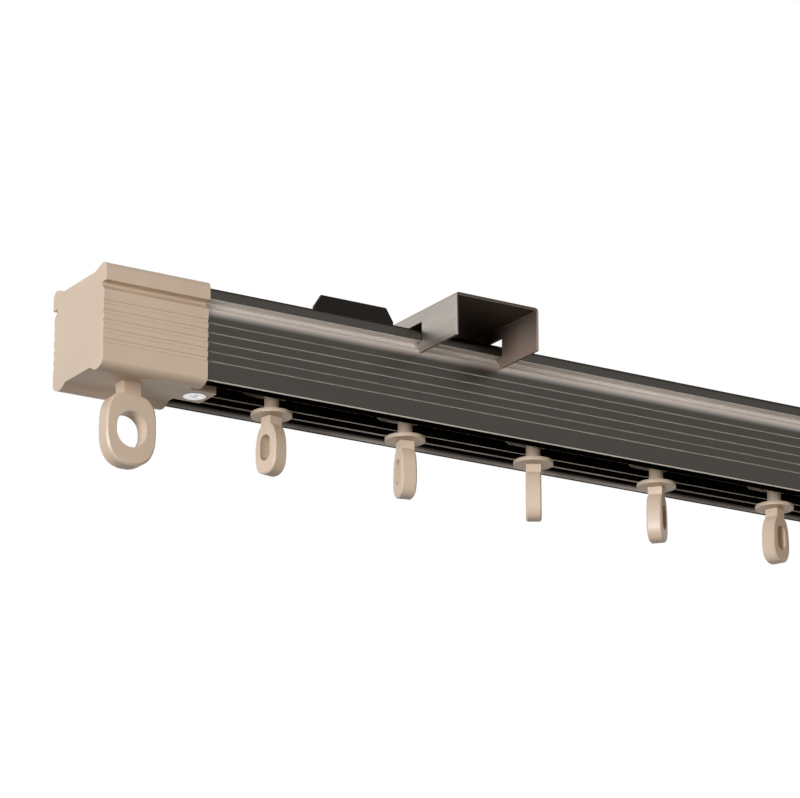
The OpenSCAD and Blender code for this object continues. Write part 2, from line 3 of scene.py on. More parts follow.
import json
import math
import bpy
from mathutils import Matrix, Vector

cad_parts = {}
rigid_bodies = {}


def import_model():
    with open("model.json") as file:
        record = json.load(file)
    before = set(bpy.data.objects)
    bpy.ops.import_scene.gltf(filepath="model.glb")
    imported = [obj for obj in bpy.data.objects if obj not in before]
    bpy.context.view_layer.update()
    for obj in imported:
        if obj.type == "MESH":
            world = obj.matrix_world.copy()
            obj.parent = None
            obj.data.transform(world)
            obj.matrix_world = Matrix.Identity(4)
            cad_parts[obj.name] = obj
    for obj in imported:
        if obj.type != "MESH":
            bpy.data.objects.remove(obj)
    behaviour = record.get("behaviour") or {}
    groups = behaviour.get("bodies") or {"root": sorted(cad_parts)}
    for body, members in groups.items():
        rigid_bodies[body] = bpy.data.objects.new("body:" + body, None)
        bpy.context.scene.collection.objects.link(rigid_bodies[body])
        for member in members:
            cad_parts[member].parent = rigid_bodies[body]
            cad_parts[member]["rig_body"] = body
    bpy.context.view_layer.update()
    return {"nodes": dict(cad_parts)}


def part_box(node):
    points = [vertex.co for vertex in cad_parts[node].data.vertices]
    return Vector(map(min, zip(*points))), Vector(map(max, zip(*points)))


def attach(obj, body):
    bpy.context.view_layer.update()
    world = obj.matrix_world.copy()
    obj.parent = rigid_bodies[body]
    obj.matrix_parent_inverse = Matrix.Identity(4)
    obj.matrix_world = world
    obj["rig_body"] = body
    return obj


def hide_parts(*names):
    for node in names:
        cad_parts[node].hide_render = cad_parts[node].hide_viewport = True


bl_info = {
    "name": "Curtain Track Looks",
    "version": (1, 0, 0),
    "blender": (4, 5, 0),
    "location": "View3D > Sidebar > Curtain Track",
    "description": "Rounds and finishes the pieces of a curtain track and lights them",
    "category": "Object",
}

import bmesh
import bpy
from bpy.props import FloatProperty, FloatVectorProperty, PointerProperty
from bpy.types import Operator, Panel, PropertyGroup
from mathutils import Vector

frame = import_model()
MM = 0.001
# How near the middle of an edge lies to the plane that the edge is on.
NEAR = 0.05 * MM
# Vertices closer than this are one, and faces that lie flatter than this are one.
MERGED = 0.002 * MM
FLAT = math.radians(0.3)
# Edges that turn by more than this are shaded as sharp ones.
CREASE = math.radians(32)


def paint(red, green, blue):
    """A linear colour from the numbers, 0 to 255, that a screen shows."""

    def linear(level):
        share = level / 255
        return share / 12.92 if share <= 0.04045 else ((share + 0.055) / 1.055) ** 2.4

    return tuple(linear(level) for level in (red, green, blue))


def colour(name, description, shown):
    """A colour, with its default as a screen shows it."""
    return FloatVectorProperty(
        name=name, description=description, default=paint(*shown), size=3, min=0, max=1, subtype="COLOR"
    )


def length(name, description, millimetres):
    """A length, with its default in millimetres."""
    return FloatProperty(
        name=name,
        description=description,
        default=millimetres * MM,
        min=0,
        precision=5,
        subtype="DISTANCE",
        unit="LENGTH",
    )


def share(name, description, default):
    """A share of a whole, from 0 to 1."""
    return FloatProperty(name=name, description=description, default=default, min=0, max=1, subtype="FACTOR")


def power(name, description, watts):
    """A lamp's power, with its default in watts."""
    return FloatProperty(name=name, description=description, default=watts, min=0, unit="POWER")


def focus(name, description, millimetres):
    """A camera's focal length in millimetres."""
    return FloatProperty(name=name, description=description, default=millimetres, min=1, unit="CAMERA")


def angle(name, description, degrees):
    """An angle, with its default in degrees."""
    return FloatProperty(
        name=name, description=description, default=math.radians(degrees), subtype="ANGLE", unit="ROTATION"
    )


def place(name, description, metres):
    """A place, with its default in metres."""
    return FloatVectorProperty(
        name=name, description=description, default=metres, size=3, subtype="TRANSLATION", unit="LENGTH"
    )


class TrackLooks(PropertyGroup):
    """Finish of the aluminium profile, with painted highlights, a painted reflection and painted shade."""

    tone: colour("Anodising", "Colour of the anodised aluminium", (76, 73, 69))
    edge_tone: colour("Worn edge", "Colour of the aluminium where its edges are rubbed", (122, 117, 109))
    # Painted highlight: the five fine grooves along each face are painted lighter than the face.
    painted_line_highlight: colour("Face lines", "Colour of the five fine grooves along each face", (170, 164, 155))
    # Painted reflection: the groove under each ear is painted nearly white.
    painted_groove_reflection: colour("Side groove", "Colour of the groove under each ear", (222, 212, 202))
    # Painted shade: the recess and the slot underneath are painted nearly black.
    painted_recess_shade: colour("Recess", "Colour of the shadowed recess and slot underneath", (20, 15, 12))
    # Painted highlight: the lower rims, the back flange's inner side and the ledge and step edges are painted
    # nearly white.
    painted_rim_highlight: colour("Lower rim", "Colour of the bright lower rims and ledge edges", (222, 214, 204))
    # Painted highlight: the underside of each ear is painted nearly white.
    painted_ear_highlight: colour("Under the ear", "Colour of the bright underside of each ear", (253, 252, 250))
    glance: colour("Glancing light", "Colour of the aluminium seen at a flat angle", (120, 115, 108))
    # The painted highlights, the painted groove reflection and the painted face lines lose this share of the
    # metal's shine.
    dull: share("Dull marks", "Share of the metal's shine that the light marks lose", 0.85)
    gloss: share("Roughness", "Roughness of the satin surface", 0.34)
    streaks: length("Streaks", "Depth of the fine lines that the die leaves along the profile", 0.003)
    edge: length("Edge", "Radius of the profile's edges", 0.09)


class PlasticLooks(PropertyGroup):
    """Finish of the moulded plastic pieces."""

    tone: colour("Plastic", "Colour of the moulded plastic", (203, 184, 161))
    gloss: share("Roughness", "Roughness of the plastic", 0.43)
    grain: length("Grain", "Depth of the mould's fine grain", 0.008)
    edge: length("Edge", "Radius of the end caps' edges", 0.16)
    ring_edge: length("Ring edge", "Radius of the rings' and eyes' outer edges", 0.3)
    hole_edge: length("Hole edge", "Radius of the edges of their holes", 0.35)
    sleeve: length("Sleeve", "Length of an end cap's sleeve", 31.4)
    ring_zone: length("Ring zone", "Height of the lowest part of an end cap, with its ring and neck", 20)
    ear_zone: length("Ear zone", "Height of the top part of a sleeve, around the ears", 5.5)
    ear_wall: length("Ear wall", "Depth of the sleeve's outer edges at its mouth", 0.4)
    mouth_edge: length("Mouth edge", "Radius of the sleeve's edge around the ears", 1.0)
    stem_zone: length("Stem zone", "Distance from a stem's axis within which edges stay sharp", 1.8)


class BracketLooks(PropertyGroup):
    """Finish of the wall brackets, with painted shade on their inner sides and wall plate."""

    tone: colour("Coating", "Colour of the bracket's coating", (192, 186, 179))
    edge_tone: colour("Cut edge", "Colour of the sheet's cut edges", (205, 199, 190))
    edge_share: share("Cut edge share", "How much of that colour the cut edges take", 0.35)
    glance: colour("Glancing light", "Colour of the sheet seen at a flat angle", (140, 135, 129))
    # Painted shade on the inner sides that face each other, lighter towards the bottom and away from the
    # wall.
    painted_inner_shade: colour("Inside", "Colour of the shadowed inner sides", (78, 68, 60))
    # Painted shade: the upright plate's front is painted nearly black.
    painted_plate_shade: colour("Wall plate", "Colour of the upright plate's shadowed front", (24, 21, 19))
    # The painted shade on the inner sides also loses this share of the metal's shine.
    dull: share("Dull inside", "Share of the metal's shine that the inner sides lose", 0.7)
    gloss: share("Roughness", "Roughness of the coated sheet", 0.36)
    grain: length("Grain", "Depth of the rolled sheet's grain", 0.004)
    side_height: length("Side plates", "Height of the side plates", 12.5)
    sheet: length("Sheet", "Thickness of the sheet", 0.8)
    bend: length("Bend", "Outer radius of the sheet's bends", 1.1)
    edge: length("Edge", "Radius of the sheet's cut edges", 0.08)


class MetalLooks(PropertyGroup):
    """Finish of the screws, levers, pins, nuts and axles."""

    screw_tone: colour("Screw", "Colour of the plated screws", (246, 246, 245))
    plain_tone: colour("Plain steel", "Colour of the plain steel pieces", (168, 168, 166))
    gloss: share("Roughness", "Roughness of the steel", 0.3)
    screw_grain: length("Screw grain", "Depth of the plating's fine grain", 0.003)
    plain_grain: length("Steel grain", "Depth of the plain steel's brushed lines", 0.004)
    edge: length("Edge", "Radius of the small pieces' edges", 0.12)


class WheelLooks(PropertyGroup):
    """Finish of the nylon wheels."""

    tone: colour("Nylon", "Colour of the nylon wheels", (226, 222, 212))
    gloss: share("Roughness", "Roughness of the nylon", 0.5)
    grain: length("Grain", "Depth of the nylon's fine grain", 0.006)


class StudioLooks(PropertyGroup):
    """Lamps, floor and camera."""

    floor_drop: length("Floor drop", "Distance of the floor below the wall screws", 2400)
    floor_reach: length("Floor reach", "Distance from the floor's middle to its sides", 40000)
    floor_tone: colour("Floor", "Colour of the floor", (228, 217, 203))
    floor_glow: share("Floor glow", "Share of plain white where the floor is seen or mirrored", 0.85)
    key_tone: colour("Key tone", "Colour of the lamp at the left", (250, 249, 255))
    fill_tone: colour("Fill tone", "Colour of the lamps in front and behind", (255, 248, 238))
    sky_tone: colour("Sky tone", "Colour of the light from around", (255, 236, 214))
    sky: share("Sky", "Strength of the light from above and around", 0.1)
    ground: share("Ground light", "Strength of the light from below", 0.04)
    aim: place("Aim", "Point that the lamps face", (0, -0.04, 0))
    spread: angle("Spread", "Angle of the lamps' light", 80)
    key_place: place("Key place", "Place of the lamp at the left", (-2.85, -1.55, -0.12))
    key_size: length("Key size", "Side of the lamp at the left", 1300)
    key: power("Key lamp", "Power of the lamp at the left", 23)
    front_place: place("Front place", "Place of the lamp in front", (2.3, -2.4, -0.02))
    front: power("Front lamp", "Power of the lamp in front", 5.5)
    back_place: place("Back place", "Place of the lamp behind", (1.2, 3.0, 0.9))
    back: power("Back lamp", "Power of the lamp behind", 22)
    fill_size: length("Fill size", "Side of the lamps in front and behind", 1600)
    lens: focus("Lens", "Focal length of the camera", 166.11)
    camera_place: place("Camera place", "Place of the camera", (-0.67109, -0.88162, -0.34898))
    camera_turn: angle("Camera turn", "Angle of the camera's view to the wall's square", 31.8175)
    camera_lift: angle("Camera lift", "Angle of the camera's view above the level", 17.8298)


class Term:
    """A number socket that Python's operators can work on."""

    def __init__(self, recipe, socket):
        self.recipe = recipe
        self.socket = socket

    def work(self, operation, first, second):
        """A Math node on two values."""
        node = self.recipe.add("ShaderNodeMath", {"operation": operation}, {0: first, 1: second})
        return Term(self.recipe, node.outputs[0])

    def __add__(self, other):
        return self.work("ADD", self, other)

    def __radd__(self, other):
        return self.work("ADD", other, self)

    def __sub__(self, other):
        return self.work("SUBTRACT", self, other)

    def __rsub__(self, other):
        return self.work("SUBTRACT", other, self)

    def __mul__(self, other):
        return self.work("MULTIPLY", self, other)

    def __rmul__(self, other):
        return self.work("MULTIPLY", other, self)

    def __abs__(self):
        return self.work("ABSOLUTE", self, 0.0)

    def __or__(self, other):
        return self.work("MAXIMUM", self, other)

    def __ror__(self, other):
        return self.work("MAXIMUM", other, self)


class Recipe:
    """The nodes of one material or of the world."""

    def __init__(self, owner):
        owner.use_nodes = True
        self.owner = owner
        self.tree = owner.node_tree
        self.tree.nodes.clear()

    def add(self, kind, settings=None, sockets=None):
        """A node of a kind, with its settings made first and then its sockets filled."""
        node = self.tree.nodes.new(kind)
        for key, value in (settings or {}).items():
            setattr(node, key, value)
        for key, value in (sockets or {}).items():
            if isinstance(value, Term):
                value = value.socket
            if isinstance(value, bpy.types.NodeSocket):
                self.tree.links.new(value, node.inputs[key])
            else:
                node.inputs[key].default_value = value
        return node

    def place(self, scale):
        """The place on the piece, stretched by a scale for each axis."""
        spot = self.add("ShaderNodeTexCoord").outputs["Object"]
        return self.add("ShaderNodeMapping", None, {"Vector": spot, "Scale": scale}).outputs[0]

    def axes(self):
        """The place on the piece in millimetres along X, Y and Z."""
        spot = self.add("ShaderNodeTexCoord").outputs["Object"]
        parts = self.add("ShaderNodeSeparateXYZ", None, {0: spot}).outputs
        return [Term(self, part) * 1000.0 for part in parts]

    def noise(self, scale, detail=2.0, roughness=0.5):
        """Soft noise from 0 to 1; a larger scale along an axis makes it finer there."""
        sockets = {"Vector": self.place(scale), "Scale": 1.0, "Detail": detail, "Roughness": roughness}
        return Term(self, self.add("ShaderNodeTexNoise", None, sockets).outputs[0])

    def band(self, value, low, high, start=0.0, end=1.0):
        """Start below low, end above high, and a soft slope between."""
        settings = {"interpolation_type": "SMOOTHSTEP"}
        node = self.add("ShaderNodeMapRange", settings, {0: value, 1: low, 2: high, 3: start, 4: end})
        return Term(self, node.outputs[0])

    def stripe(self, value, middle, half, soft):
        """1 within half of the middle, falling to 0 over a soft edge."""
        return self.band(abs(value - middle), half, half + soft, 1.0, 0.0)

    def mark(self, name):
        """A number kept on the mesh."""
        return Term(self, self.add("ShaderNodeAttribute", {"attribute_name": name}).outputs["Fac"])

    def blend(self, factor, first, second):
        """One colour passing into another."""
        sockets = {0: factor, 6: opaque(first), 7: opaque(second)}
        return self.add("ShaderNodeMix", {"data_type": "RGBA"}, sockets).outputs[2]

    def bump(self, height, depth, below=None):
        """A normal raised by a height from 0 to 1 over a depth, on top of another normal."""
        sockets = {"Height": height, "Distance": depth, "Strength": 1.0}
        if below:
            sockets["Normal"] = below
        return self.add("ShaderNodeBump", None, sockets).outputs[0]

    def surface(self, sockets):
        """Ends the tree in the main shader."""
        shader = self.add("ShaderNodeBsdfPrincipled", None, sockets)
        self.add("ShaderNodeOutputMaterial", None, {"Surface": shader.outputs[0]})
        return self.owner


def opaque(tone):
    """A colour with its fourth number, or a socket as it is."""
    return tone if isinstance(tone, bpy.types.NodeSocket) else (*tone[:3], 1.0)


def shade(tone, amount):
    """A colour made lighter or darker by a share of itself."""
    return tuple(min(1.0, level * (1 + amount)) for level in tone)


def new_material(name):
    """The material of this name, made once, with an empty tree."""
    known = bpy.data.materials.get(name)
    return Recipe(known or bpy.data.materials.new(name))


class Section:
    """Places on the profile's section in millimetres: heights over its underside, widths from its middle."""

    face = 12.9
    lines = 5
    lowest_line = 5.5
    line_step = 2.67
    line_half = 0.09
    groove_foot = 17.6
    groove_lit = 20.8
    groove_top = 22.4
    groove_back = 11
    ear_under = 22.55
    ear_middle = 12.8
    ear_half = 1.65
    recess_top = 15.4
    recess_side = 12.2
    flange_side = 12.05
    flange_top = 1.8
    rim_top = 0.2
    ledge_side = 4
    ledge_height = 1.85
    step_side = 9.05
    step_height = 1.7


def anodised(looks):
    """Satin anodising, with painted highlights on its face lines, ear undersides, lower rims and ledges, a
    painted reflection in the grooves under the ears and painted shade in the recess, all placed on the
    profile's section.
    """
    recipe = new_material("Anodised aluminium")
    low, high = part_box("track_profile")
    across, up = recipe.axes()[1:]
    out = abs(across - (low.y + high.y) / 2 / MM)
    up = up - low.z / MM
    wide = recipe.noise((3, 420, 420), 3.0, 0.6)
    fine = recipe.noise((14, 3600, 3600), 2.0)
    cloud = recipe.noise((9, 30, 30), 2.0)
    patch = recipe.noise((24, 60, 60), 2.0)
    drawn = wide * 0.6 + fine * 0.4
    bright = recipe.band(patch, 0.35, 0.7, 0.6, 1.0)
    tone = recipe.blend(recipe.band(drawn, 0.3, 0.7), shade(looks.tone, -0.03), shade(looks.tone, 0.03))
    tone = recipe.blend(recipe.band(cloud, 0.35, 0.75, 0, 0.2), tone, shade(looks.tone, 0.12))
    rubbed = recipe.mark("rim") * recipe.band(recipe.noise((160, 900, 900), 3.0), 0.4, 0.7, 0, 0.7)
    tone = recipe.blend(rubbed, tone, looks.edge_tone)
    # Painted highlight along the five fine grooves on each face, a little weaker with the streaks.
    heights = [Section.lowest_line + Section.line_step * number for number in range(Section.lines)]
    lines = sum((recipe.stripe(up, height, Section.line_half, 0.1) for height in heights), 0.0)
    lines = lines * recipe.band(out, Section.face - 0.2, Section.face)
    lines = lines * recipe.band(wide, 0.25, 0.6, 0.75, 1.0)
    tone = recipe.blend(lines, tone, looks.painted_line_highlight)
    # Painted reflection in the groove under each ear: full from its lit height up to its top, fading
    # downwards, and patchy with the clouds.
    groove = recipe.band(up, Section.groove_foot, Section.groove_lit)
    groove = groove * recipe.band(up, Section.groove_top, Section.groove_top + 0.1, 1, 0)
    groove = groove * recipe.band(out, Section.groove_back, Section.groove_back + 0.1)
    tone = recipe.blend(groove * recipe.band(cloud, 0.2, 0.8, 0.82, 1.0), tone, looks.painted_groove_reflection)
    # Painted highlight on the underside of each ear.
    ear_underside_highlight = recipe.stripe(up, Section.ear_under, 0.08, 0.04)
    ear_underside_highlight = ear_underside_highlight * recipe.stripe(out, Section.ear_middle, Section.ear_half, 0.1)
    tone = recipe.blend(ear_underside_highlight, tone, looks.painted_ear_highlight)
    # Painted shade in the recess and the slot underneath, which are also made rougher.
    below = recipe.band(out, Section.recess_side, Section.recess_side + 0.05, 1, 0)
    below = below * recipe.band(up, Section.recess_top, Section.recess_top + 0.1, 1, 0)
    tone = recipe.blend(below, tone, looks.painted_recess_shade)
    # Painted highlight on the flange's inner side, fading upwards and patchy.
    flange_highlight = recipe.stripe(out, Section.flange_side, 0.1, 0.05) * recipe.band(up, 0.02, 0.06)
    flange_highlight = flange_highlight * recipe.band(up, Section.flange_top - 1.5, Section.flange_top, 1, 0) * bright
    tone = recipe.blend(flange_highlight, tone, looks.painted_rim_highlight)
    # Painted highlights on the lower rims and on the ledge and step edges under the profile.
    rim = recipe.band(out, Section.face, Section.face + 0.1)
    rim = rim * recipe.band(up, Section.rim_top, Section.rim_top + 0.12, 1, 0)
    ledge = recipe.stripe(up, Section.ledge_height, 0.16, 0.06) * bright
    ledge = ledge * recipe.stripe(out, Section.ledge_side, 0.1, 0.05)
    step = recipe.stripe(up, Section.step_height, 0.2, 0.05) * bright
    step = step * recipe.stripe(out, Section.step_side, 0.1, 0.05)
    lit = rim | ledge | step * 0.8
    tone = recipe.blend(lit, tone, looks.painted_rim_highlight)
    return recipe.surface({
        "Base Color": tone,
        # Less metal where the painted highlights, reflection and lines are, so that their pale colour shows.
        "Metallic": 1.0 - looks.dull * (lit | groove | flange_highlight | lines),
        "Specular Tint": (*looks.glance, 1.0),
        "Roughness": looks.gloss + (drawn - 0.5) * 0.16 + (cloud - 0.5) * 0.08 + below * 0.2,
        "Normal": recipe.bump(drawn, looks.streaks),
    })


def moulded(looks):
    """Champagne coloured plastic with a fine grain and the soft waves of a moulding."""
    recipe = new_material("Moulded plastic")
    cloud = recipe.noise((55, 55, 55), 3.0)
    grain = recipe.noise((2300, 2300, 2300), 2.0, 0.6)
    flow = recipe.noise((300, 300, 90), 2.0)
    tone = recipe.blend(recipe.band(cloud, 0.3, 0.7), shade(looks.tone, -0.05), shade(looks.tone, 0.04))
    tone = recipe.blend(recipe.band(grain, 0.35, 0.7, 0, 0.3), tone, shade(looks.tone, 0.12))
    return recipe.surface({
        "Base Color": tone,
        "Roughness": looks.gloss + (cloud - 0.5) * 0.1 + (grain - 0.5) * 0.14,
        "Specular IOR Level": 0.42,
        "Coat Weight": 0.08 + flow * 0.08,
        "Coat Roughness": 0.28,
        "Normal": recipe.bump(grain, looks.grain, recipe.bump(flow, 3 * looks.grain)),
    })


def coated(looks):
    """Coated sheet, with painted shade on the sides that face each other and on the upright plate's front."""
    recipe = new_material("Coated sheet")
    low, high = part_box("wall_bracket_right")
    along, across, up = recipe.axes()
    half = (high.x - low.x) / 2 / MM
    from_middle = abs(abs(along) - (low.x + high.x) / 2 / MM)
    inside = recipe.band(from_middle, half - 0.6 * looks.sheet / MM, half - 0.4 * looks.sheet / MM, 1, 0)
    lower = recipe.band(up - low.z / MM, 0, looks.side_height / MM, 1, 0)
    nearer = recipe.band(across, -60, -10, 1, 0)
    rolled = recipe.noise((900, 22, 900), 3.0, 0.6)
    cloud = recipe.noise((70, 70, 70), 3.0)
    tone = recipe.blend(recipe.band(rolled, 0.3, 0.7), shade(looks.tone, -0.07), shade(looks.tone, 0.06))
    tone = recipe.blend(recipe.band(cloud, 0.4, 0.75, 0, 0.4), tone, shade(looks.tone, -0.16))
    # Painted shade on the inner sides: lighter towards the bottom and away from the wall, where more light
    # reaches.
    inner_shade = recipe.blend(lower * nearer, looks.painted_inner_shade, shade(looks.painted_inner_shade, 2.6))
    tone = recipe.blend(inside, tone, inner_shade)
    # Painted shade, nearly black, on the upright plate's front.
    front = -looks.sheet / MM
    plate = recipe.band(across, front - 0.6, front - 0.2) * recipe.band(across, -0.2, -0.1, 1, 0)
    tone = recipe.blend(plate, tone, looks.painted_plate_shade)
    tone = recipe.blend(recipe.mark("rim") * looks.edge_share, tone, looks.edge_tone)
    return recipe.surface({
        "Base Color": tone,
        "Metallic": 1.0 - looks.dull * inside,
        "Specular Tint": (*looks.glance, 1.0),
        "Roughness": looks.gloss + (rolled - 0.5) * 0.14 + (cloud - 0.5) * 0.12,
        "Normal": recipe.bump(rolled, looks.grain),
    })


def plated(looks):
    """Bright plating of the clamp screws."""
    recipe = new_material("Plated screw")
    turned = recipe.noise((1500, 1500, 1500), 3.0)
    cloud = recipe.noise((420, 420, 420), 2.0)
    tone = recipe.blend(recipe.band(cloud, 0.35, 0.7), looks.screw_tone, shade(looks.screw_tone, -0.18))
    return recipe.surface({
        "Base Color": tone,
        "Metallic": 1.0,
        "Roughness": looks.gloss - 0.06 + (turned - 0.5) * 0.16,
        "Normal": recipe.bump(turned, looks.screw_grain),
    })


def plain(looks):
    """Brushed plain steel of the levers, pins, nuts and axles."""
    recipe = new_material("Plain steel")
    brushed = recipe.noise((260, 2600, 2600), 3.0, 0.6)
    cloud = recipe.noise((140, 140, 140), 3.0)
    light = shade(looks.plain_tone, 0.06)
    dark = shade(looks.plain_tone, -0.14)
    tone = recipe.blend(recipe.band(cloud, 0.35, 0.7), light, dark)
    return recipe.surface({
        "Base Color": tone,
        "Metallic": 1.0,
        "Roughness": looks.gloss + (brushed - 0.5) * 0.2,
        "Normal": recipe.bump(brushed, looks.plain_grain),
    })


def nylon(looks):
    """Off-white nylon of the wheels."""
    recipe = new_material("Nylon")
    cloud = recipe.noise((400, 400, 400), 3.0)
    grain = recipe.noise((2600, 2600, 2600), 2.0)
    tone = recipe.blend(recipe.band(cloud, 0.3, 0.7), shade(looks.tone, -0.07), looks.tone)
    return recipe.surface({
        "Base Color": tone,
        "Roughness": looks.gloss + (grain - 0.5) * 0.15,
        "Normal": recipe.bump(grain, looks.grain),
    })


def node_names(*kinds):
    """The CAD nodes whose names start with one of these, in order."""
    found = [name for name in sorted(frame["nodes"]) if name.rsplit("_", 1)[0] in kinds or name in kinds]
    if not found:
        raise RuntimeError("the packed part has no node of " + ", ".join(kinds))
    return found


def finish(node, material):
    """Gives a CAD node its material."""
    for slot in frame["nodes"][node].material_slots:
        slot.material = material


def rounded(node, material, passes):
    """A copy of a CAD node with its sharp edges rounded, shown in its place.

    Each pass is a radius, a number of segments, the least angle of an edge, and a test of its middle.
    """
    source = frame["nodes"][node]
    name = node + "_rounded"
    old = bpy.data.objects.get(name)
    if old:
        bpy.data.objects.remove(old)
    shape = bmesh.new()
    shape.from_mesh(source.data)
    bmesh.ops.remove_doubles(shape, verts=shape.verts[:], dist=MERGED)
    bmesh.ops.dissolve_limit(shape, angle_limit=FLAT, verts=shape.verts[:], edges=shape.edges[:])
    rim = shape.faces.layers.float.new("rim")
    for radius, segments, least, wanted in passes:
        edges = [
            edge
            for edge in shape.edges
            if len(edge.link_faces) == 2
            and edge.calc_face_angle() > math.radians(least)
            and wanted((edge.verts[0].co + edge.verts[1].co) / 2)
        ]
        made = bmesh.ops.bevel(
            shape,
            geom=edges,
            offset=radius,
            offset_type="OFFSET",
            segments=segments,
            profile=0.5,
            affect="EDGES",
            clamp_overlap=True,
        )
        for face in made["faces"]:
            face[rim] = 1.0
    mesh = bpy.data.meshes.new(name)
    shape.to_mesh(mesh)
    shape.free()
    if "custom_normal" in mesh.attributes:
        mesh.attributes.remove(mesh.attributes["custom_normal"])
    mesh.materials.clear()
    mesh.materials.append(material)
    mesh.shade_smooth()
    mesh.set_sharp_from_angle(angle=CREASE)
    piece = bpy.data.objects.new(name, mesh)
    bpy.context.scene.collection.objects.link(piece)
    even = piece.modifiers.new("Even shading", "WEIGHTED_NORMAL")
    even.keep_sharp = True
    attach(piece, source["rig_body"])
    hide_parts(node)
    return piece


def anywhere(middle):
    """The test that takes every edge."""
    return True


class CURTAIN_OT_profile(Operator):
    """Rounds the aluminium profile's edges and gives it its satin anodising with painted highlights,
    reflection and shade
    """

    bl_idname = "curtain_track.profile"
    bl_label = "Profile"

    def execute(self, context):
        looks = context.scene.track_looks
        rounded("track_profile", anodised(looks), [(looks.edge, 2, 28, anywhere)])
        return {"FINISHED"}


class CURTAIN_OT_end_caps(Operator):
    """Rounds and finishes the end caps with their rings, screws and nut plates"""

    bl_idname = "curtain_track.end_caps"
    bl_label = "End caps"

    def execute(self, context):
        looks = context.scene.plastic_looks
        metal = context.scene.metal_looks
        plastic = moulded(looks)
        for node in node_names("end_cap"):
            low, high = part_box(node)
            ring_top = low.z + looks.ring_zone
            ear_low = high.z - looks.ear_zone
            mouth = max(abs(low.x), abs(high.x)) - looks.sleeve

            def in_ring(at):
                return at.z < ring_top

            def on_mouth(at):
                outer = min(at.y - low.y, high.y - at.y, high.z - at.z) < looks.ear_wall
                return abs(abs(at.x) - mouth) < NEAR and at.z > ear_low and outer

            def elsewhere(at):
                return at.z > ring_top and not on_mouth(at)

            passes = [
                (looks.hole_edge, 4, 70, in_ring),
                (looks.ring_edge, 3, 28, in_ring),
                (looks.mouth_edge, 4, 60, on_mouth),
                (looks.edge, 2, 28, elsewhere),
            ]
            rounded(node, plastic, passes)
        plating = plated(metal)
        for node in node_names("cap_screw"):
            rounded(node, plating, [(0.5 * metal.edge, 2, 40, anywhere)])
        steel = plain(metal)
        for node in node_names("cap_nut"):
            finish(node, steel)
        return {"FINISHED"}


class CURTAIN_OT_gliders(Operator):
    """Finishes the gliders' carriers, axles and wheels"""

    bl_idname = "curtain_track.gliders"
    bl_label = "Gliders"

    def execute(self, context):
        looks = context.scene.plastic_looks
        plastic = moulded(looks)
        for node in node_names("carrier"):
            low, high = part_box(node)
            axis = (low + high) / 2

            def outside(at):
                return math.hypot(at.x - axis.x, at.y - axis.y) > looks.stem_zone

            rounded(node, plastic, [(0.8 * looks.ring_edge, 3, 50, outside)])
        steel = plain(context.scene.metal_looks)
        for node in node_names("axle"):
            finish(node, steel)
        wheel = nylon(context.scene.wheel_looks)
        for node in node_names("wheels"):
            finish(node, wheel)
        return {"FINISHED"}


class CURTAIN_OT_eyes(Operator):
    """Rounds and finishes the swivelling eyes"""

    bl_idname = "curtain_track.eyes"
    bl_label = "Swivel eyes"

    def execute(self, context):
        looks = context.scene.plastic_looks
        plastic = moulded(looks)
        for node in node_names("eye"):
            passes = [(looks.hole_edge, 4, 70, anywhere), (looks.ring_edge, 3, 28, anywhere)]
            rounded(node, plastic, passes)
        return {"FINISHED"}


class CURTAIN_OT_brackets(Operator):
    """Rounds the brackets' bends and cut edges and gives them their coating with its painted shade"""

    bl_idname = "curtain_track.brackets"
    bl_label = "Wall brackets"

    def execute(self, context):
        looks = context.scene.bracket_looks
        sheet = coated(looks)
        for node in node_names("wall_bracket"):
            low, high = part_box(node)
            top = low.z + looks.side_height

            def on_bend(at):
                return abs(at.z - top) < NEAR and min(at.x - low.x, high.x - at.x) < NEAR

            rounded(node, sheet, [(looks.bend, 4, 60, on_bend), (looks.edge, 2, 28, anywhere)])
        return {"FINISHED"}


class CURTAIN_OT_locks(Operator):
    """Finishes the lock levers and their pins"""

    bl_idname = "curtain_track.locks"
    bl_label = "Lock levers"

    def execute(self, context):
        metal = context.scene.metal_looks
        steel = plain(metal)
        for node in node_names("lock_lever", "lever_pin"):
            rounded(node, steel, [(metal.edge, 2, 40, anywhere)])
        return {"FINISHED"}


def lamp(name, looks, at, size, watts, tone):
    """A soft square lamp that faces the aim and isn't seen by the camera."""
    data = bpy.data.lights.new(name, "AREA")
    data.color = tone
    data.size = size
    data.energy = watts
    data.spread = looks.spread
    light = bpy.data.objects.new(name, data)
    bpy.context.scene.collection.objects.link(light)
    light.location = at
    light.rotation_euler = (Vector(looks.aim) - Vector(at)).to_track_quat("-Z", "Y").to_euler()
    light.visible_camera = False
    return light


